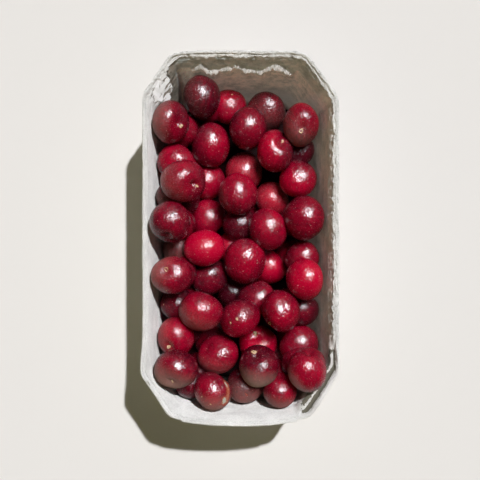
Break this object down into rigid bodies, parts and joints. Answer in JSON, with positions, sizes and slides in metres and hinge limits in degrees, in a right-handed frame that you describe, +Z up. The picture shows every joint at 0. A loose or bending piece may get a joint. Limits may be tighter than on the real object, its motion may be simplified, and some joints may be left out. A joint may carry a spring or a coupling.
{
  "type": "punnet of cherries",
  "caption": "Long moulded pulp punnet with cut corners, filled to the rim with stalkless dark red cherries.",
  "frame": {"origin": "middle of the footprint, on the surface the punnet stands on", "axes": "+Z up, +Y along the length towards the emptier end, +X across the width"},
  "size_m": [0.1176, 0.2255, 0.086],
  "materials": {
    "pulp": "rough matte",
    "cherry_skin": "glossy"
  },
  "bodies": {
    "root": {"punnet": "pulp", "cherry_heap": "cherry_skin"}
  },
  "joints": []
}
